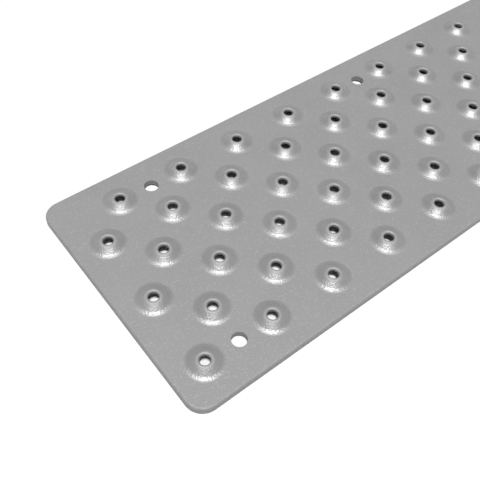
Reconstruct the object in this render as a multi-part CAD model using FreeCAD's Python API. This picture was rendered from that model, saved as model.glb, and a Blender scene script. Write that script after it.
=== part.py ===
import FreeCAD, Part
import math
import os
from FreeCAD import Vector

os.makedirs("parts", exist_ok=True)

# Non-slip stair tread, in millimetres. One metal sheet with its edges turned down a little
# all round, six staggered rows of pierced traction buttons, and plain holes for screws.
# The origin is on the step under the middle of the tread. X runs along the step,
# Y from its front edge to its back, and Z up.

# Sheet
tread_length = 762.0
tread_width = 95.25
sheet_thickness = 2.0
edge_height = 2.8
corner_radius = 6.35
edge_rounding = 0.9
fold_inside_radius = 0.4

# Pattern of the buttons: every second place of a grid of columns and rows
column_count = 57
row_count = 6
end_margin = 12.0
side_margin = 13.0

# One button, measured from the walking face and from its own axis
base_radius = 6.7
crest_height = 2.1
wall_slope = 35.0
shoulder_radius = 1.1
lip_radius = 0.65
pierced_radius = 1.75
pierced_depth = 1.15
hollow_radius = 5.2

# Screw holes, at free places of the same grid, mirrored to the other end
screw_hole_radius = 2.65
back_hole_columns = [2, 10]
front_hole_columns = [1]

# What follows from those sizes
column_pitch = (tread_length - 2 * end_margin) / (column_count - 1)
row_pitch = (tread_width - 2 * side_margin) / (row_count - 1)
last_column = column_count - 1
last_row = row_count - 1
underside = edge_height - sheet_thickness


def grid_place(column, row):
    """Point on the step below a place of the grid; row 0 is the back row."""
    x = (column - last_column / 2) * column_pitch
    y = (last_row / 2 - row) * row_pitch
    return Vector(x, y, 0)


def rounded_slab(length, width, height, corner, rounding):
    """Slab standing on the step, with round corners and a rounded upper edge."""
    slab = Part.makeBox(length, width, height, Vector(-length / 2, -width / 2, 0))
    upright = [edge for edge in slab.Edges if edge.BoundBox.ZLength > height / 2]
    slab = slab.makeFillet(corner, upright)
    upper = [edge for edge in slab.Edges if edge.BoundBox.ZMin > height / 2]
    return slab.makeFillet(rounding, upper)


def button_section():
    """Half section of one button: foot, sloping wall, shoulder, lip, bore, hollow below."""
    slope = math.radians(wall_slope)
    crest_radius = pierced_radius + lip_radius
    reach = base_radius - crest_radius
    rise = reach * math.sin(slope) - crest_height * math.cos(slope)
    foot_radius = rise / (1 - math.cos(slope)) - shoulder_radius

    def on_section(radius, height):
        return Vector(radius, 0, edge_height + height)

    def on_foot(angle):
        radius = base_radius - foot_radius * math.sin(angle)
        return on_section(radius, foot_radius * (1 - math.cos(angle)))

    def on_shoulder(angle):
        radius = crest_radius + shoulder_radius * math.sin(angle)
        return on_section(radius, crest_height - shoulder_radius * (1 - math.cos(angle)))

    def on_lip(angle):
        radius = crest_radius - lip_radius * math.sin(angle)
        return on_section(radius, crest_height - lip_radius * (1 - math.cos(angle)))

    base = on_foot(0)
    wall_foot = on_foot(slope)
    wall_top = on_shoulder(slope)
    crest = on_shoulder(0)
    bore_top = on_lip(math.pi / 2)
    bore_foot = on_section(pierced_radius, crest_height - pierced_depth)
    hollow_edge = on_section(hollow_radius, -sheet_thickness)
    foot = Part.Arc(base, on_foot(slope / 2), wall_foot)
    wall = Part.LineSegment(wall_foot, wall_top)
    shoulder = Part.Arc(wall_top, on_shoulder(slope / 2), crest)
    lip = Part.Arc(crest, on_lip(math.pi / 4), bore_top)
    hollow = Part.LineSegment(bore_foot, hollow_edge)
    outline = [
        foot.toBSpline().toShape(),
        wall.toBSpline().toShape(),
        shoulder.toBSpline().toShape(),
        lip.toBSpline().toShape(),
        Part.makeLine(bore_top, bore_foot),
        hollow.toBSpline().toShape(),
        Part.makeLine(hollow_edge, base),
    ]
    return Part.Face(Part.Wire(outline))


# The sheet with its turned-down edge: a shallow tray standing upside down on the step
outside = rounded_slab(tread_length, tread_width, edge_height, corner_radius, edge_rounding)
inside = rounded_slab(
    tread_length - 2 * sheet_thickness,
    tread_width - 2 * sheet_thickness,
    underside,
    corner_radius - sheet_thickness,
    fold_inside_radius,
)
sheet = outside.cut(inside)

# Places of the buttons, and of the screw holes between them in the outer rows
button_places = []
for row in range(row_count):
    for column in range(column_count):
        if (row + column) % 2 == 1:
            button_places.append(grid_place(column, row))
screw_places = []
for row, columns in [(0, back_hole_columns), (last_row, front_hole_columns)]:
    for column in columns:
        screw_places.append(grid_place(column, row))
        screw_places.append(grid_place(last_column - column, row))

# Each button is drawn up out of the sheet, so its blank leaves the flat sheet first
blank = Part.makeCone(hollow_radius, base_radius, sheet_thickness, Vector(0, 0, underside))
screw_hole = Part.makeCylinder(screw_hole_radius, edge_height)
openings = [blank.translated(place) for place in button_places]
openings += [screw_hole.translated(place) for place in screw_places]
sheet = sheet.cut(openings)

button = button_section().revolve(Vector(0, 0, 0), Vector(0, 0, 1), 360)
tread = sheet.fuse([button.translated(place) for place in button_places])

solids = tread.Solids
if len(solids) != 1 or not solids[0].isValid():
    raise ValueError("the tread is not one sound piece of sheet")
solids[0].exportStep("parts/tread_plate.step")
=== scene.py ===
import math

import bmesh
import bpy
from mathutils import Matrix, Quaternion, Vector


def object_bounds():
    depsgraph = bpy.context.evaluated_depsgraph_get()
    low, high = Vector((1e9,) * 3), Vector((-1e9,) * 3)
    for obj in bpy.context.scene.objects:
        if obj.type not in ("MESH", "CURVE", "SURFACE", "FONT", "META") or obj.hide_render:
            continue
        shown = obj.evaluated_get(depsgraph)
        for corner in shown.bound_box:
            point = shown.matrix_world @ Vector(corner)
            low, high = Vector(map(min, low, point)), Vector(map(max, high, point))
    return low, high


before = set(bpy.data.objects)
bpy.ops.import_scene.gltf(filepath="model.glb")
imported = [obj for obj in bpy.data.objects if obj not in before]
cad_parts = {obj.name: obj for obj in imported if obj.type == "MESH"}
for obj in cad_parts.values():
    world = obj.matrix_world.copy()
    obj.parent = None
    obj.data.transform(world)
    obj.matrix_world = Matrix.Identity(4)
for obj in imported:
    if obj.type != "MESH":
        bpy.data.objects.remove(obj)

solid_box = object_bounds()


# The tread itself: one metal sheet, its edges turned down and its buttons drawn up and pierced
# in a press, sprayed with silver-grey powder that holds metal flake, and baked. It is satin with a
# fine grain and light specks, and the flanks of the buttons are smoother. The flanks' colour is
# painted a little lighter than the flat powder, a painted sheen standing in for the light they catch.
class Wire:
    """One socket of a shader tree, with arithmetic that adds Math nodes."""

    def __init__(self, tree, socket=None):
        self.tree = tree
        self.socket = socket

    def node(self, kind, settings, inputs, output=0):
        """Adds a node, its settings first, and gives back one of its outputs."""
        made = self.tree.nodes.new(kind)
        for name, value in settings.items():
            setattr(made, name, value)
        for name, value in inputs.items():
            if isinstance(value, Wire):
                self.tree.links.new(value.socket, made.inputs[name])
            else:
                made.inputs[name].default_value = value
        return Wire(self.tree, made.outputs[output] if made.outputs else None)

    def beside(self, output):
        """Another output of the same node."""
        return Wire(self.tree, self.socket.node.outputs[output])

    def math(self, operation, first, second):
        return self.node("ShaderNodeMath", {"operation": operation}, {0: first, 1: second})

    def blend(self, low, high):
        """Mixes two colours by this value."""
        return self.node("ShaderNodeMix", {"data_type": "RGBA"}, {0: self, 6: low, 7: high}, 2)

    def __add__(self, other):
        return self.math("ADD", self, other)

    __radd__ = __add__

    def __sub__(self, other):
        return self.math("SUBTRACT", self, other)

    def __rsub__(self, other):
        return self.math("SUBTRACT", other, self)

    def __mul__(self, other):
        return self.math("MULTIPLY", self, other)

    __rmul__ = __mul__

    def __gt__(self, other):
        return self.math("GREATER_THAN", self, other)

    def __lt__(self, other):
        return self.math("LESS_THAN", self, other)


button_height = 0.0021
button_top = solid_box[1][2]
walking_face = button_top - button_height
foot_start = walking_face + 0.00002
foot_end = walking_face + 0.0001
lip_start = button_top - 0.0006
lip_end = button_top - 0.0001

powder_dark = (0.35, 0.35, 0.353, 1)
powder_light = (0.445, 0.445, 0.447, 1)
# Painted sheen: the flank colours are lighter than the flat powder to stand in for light on the flanks.
flank_dark_painted_sheen = (0.385, 0.385, 0.388, 1)
flank_light_painted_sheen = (0.485, 0.485, 0.487, 1)
flake_light = (0.465, 0.465, 0.465, 1)
flake_share = 0.25
flake_reach = 0.4
grain_depth = 0.00011
metal_share = 0.47
face_roughness = 0.66
cloud_roughness = 0.1
flank_polish = 0.25
lip_dulling = 0.2

powder_coat = bpy.data.materials.new("silver_powder_coat")
powder_coat.use_nodes = True
powder_coat.node_tree.nodes.clear()
coat = Wire(powder_coat.node_tree)
place = coat.node("ShaderNodeTexCoord", {}, {}, "Object")

cloud = coat.node("ShaderNodeTexNoise", {}, {"Vector": place, "Scale": 60.0, "Detail": 3.0})
grain = coat.node("ShaderNodeTexNoise", {}, {"Vector": place, "Scale": 1800.0, "Detail": 1.0})
mottle = 0.5 * cloud + 0.5 * grain
flake = coat.node("ShaderNodeTexVoronoi", {}, {"Vector": place, "Scale": 1500.0})
flake_pick = coat.node("ShaderNodeSeparateColor", {}, {"Color": flake.beside("Color")})
flake_here = (flake_pick > 1.0 - flake_share) * (flake < flake_reach)

level = coat.node("ShaderNodeSeparateXYZ", {}, {"Vector": place}, "Z")
risen = coat.node("ShaderNodeMapRange", {}, {"Value": level, "From Min": foot_start, "From Max": foot_end})
lip = coat.node("ShaderNodeMapRange", {}, {"Value": level, "From Min": lip_start, "From Max": lip_end})
flat = mottle.blend(powder_dark, powder_light)
# Painted sheen: above the walking face the flanks take the lighter flank colours.
flank_painted_sheen = mottle.blend(flank_dark_painted_sheen, flank_light_painted_sheen)
colour = flake_here.blend(risen.blend(flat, flank_painted_sheen), flake_light)

relief = coat.node("ShaderNodeBump", {}, {"Height": grain, "Strength": 1.0, "Distance": grain_depth})
roughness = face_roughness + cloud_roughness * cloud - flank_polish * risen + lip_dulling * lip

surface = coat.node(
    "ShaderNodeBsdfPrincipled",
    {},
    {"Base Color": colour, "Metallic": metal_share, "Roughness": roughness, "Normal": relief},
)
coat.node("ShaderNodeOutputMaterial", {}, {"Surface": surface})

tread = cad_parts["tread_plate"]
tread.data.materials.clear()
tread.data.materials.append(powder_coat)

# The floor: a wide sheet of paper that the tread lies on. It looks white, straight on and
# mirrored in the metal, and throws as little light back up at the edges as grey card does.
floor_half = 6.0
floor_mesh = bmesh.new()
bmesh.ops.create_grid(floor_mesh, x_segments=1, y_segments=1, size=floor_half)
floor_data = bpy.data.meshes.new("white_floor")
floor_mesh.to_mesh(floor_data)
floor_mesh.free()
floor = bpy.data.objects.new("white_floor", floor_data)
bpy.context.collection.objects.link(floor)

paper_grey = (0.3, 0.3, 0.3, 1)
paper_white = (0.95, 0.95, 0.95, 1)
white_paper = bpy.data.materials.new("white_paper")
white_paper.use_nodes = True
white_paper.node_tree.nodes.clear()
paper = Wire(white_paper.node_tree)
looked_on = paper.node("ShaderNodeLightPath", {}, {}, "Is Camera Ray")
shown = looked_on + looked_on.beside("Is Glossy Ray") + looked_on.beside("Is Transmission Ray")
sheet = paper.node("ShaderNodeBsdfDiffuse", {}, {"Color": shown.blend(paper_grey, paper_white)})
paper.node("ShaderNodeOutputMaterial", {}, {"Surface": sheet})
floor_data.materials.append(white_paper)

# The light: one soft lamp high above the tread, a little to the camera's side, in a dim room.
# Low walls around the floor look white, so the floor runs on into them without an edge.
room_light = 0.15
wall_light = 1.0
wall_height = 0.2
world = bpy.data.worlds.new("dim_room")
world.use_nodes = True
world.node_tree.nodes.clear()
room = Wire(world.node_tree)
seen = room.node("ShaderNodeLightPath", {}, {}, "Is Camera Ray")
mirrored = seen.beside("Is Glossy Ray") + seen.beside("Is Transmission Ray")
direction = room.node("ShaderNodeTexCoord", {}, {}, "Generated")
height = room.node("ShaderNodeSeparateXYZ", {}, {"Vector": direction}, "Z")
fill = room.node("ShaderNodeBackground", {}, {"Color": (1, 1, 1, 1), "Strength": room_light})
white = room.node("ShaderNodeBackground", {}, {"Color": (1, 1, 1, 1), "Strength": wall_light})
low_walls = (seen + mirrored) * (height < wall_height)
walls = room.node("ShaderNodeMixShader", {}, {0: low_walls, 1: fill, 2: white})
room.node("ShaderNodeOutputWorld", {}, {"Surface": walls})
bpy.context.scene.world = world

lamp = bpy.data.lights.new("soft_lamp", "SUN")
lamp.energy = 2.98
lamp.angle = math.radians(14)
soft_lamp = bpy.data.objects.new("soft_lamp", lamp)
to_lamp = Vector((-0.142, -0.181, 1.0))
soft_lamp.rotation_euler = to_lamp.to_track_quat("Z", "Y").to_euler()
bpy.context.collection.objects.link(soft_lamp)

# The camera: over the front corner of the visible end, rolled a little to the side, looking
# down along the rows at a point on the walking face between the first buttons.
camera = bpy.data.cameras.new("camera")
camera.sensor_width = 36.0
camera.lens = 48.86
camera.clip_start = 0.01
view = bpy.data.objects.new("camera", camera)
view.location = (-0.4229, -0.1074, 0.1805)
looked_at = Vector((-0.3318, -0.0042, walking_face))
roll = math.radians(4.32)
aim = (looked_at - view.location).to_track_quat("-Z", "Y")
view.rotation_euler = (aim @ Quaternion((0, 0, 1), roll)).to_euler()
bpy.context.collection.objects.link(view)
bpy.context.scene.camera = view
bpy.context.scene.view_settings.view_transform = "Standard"
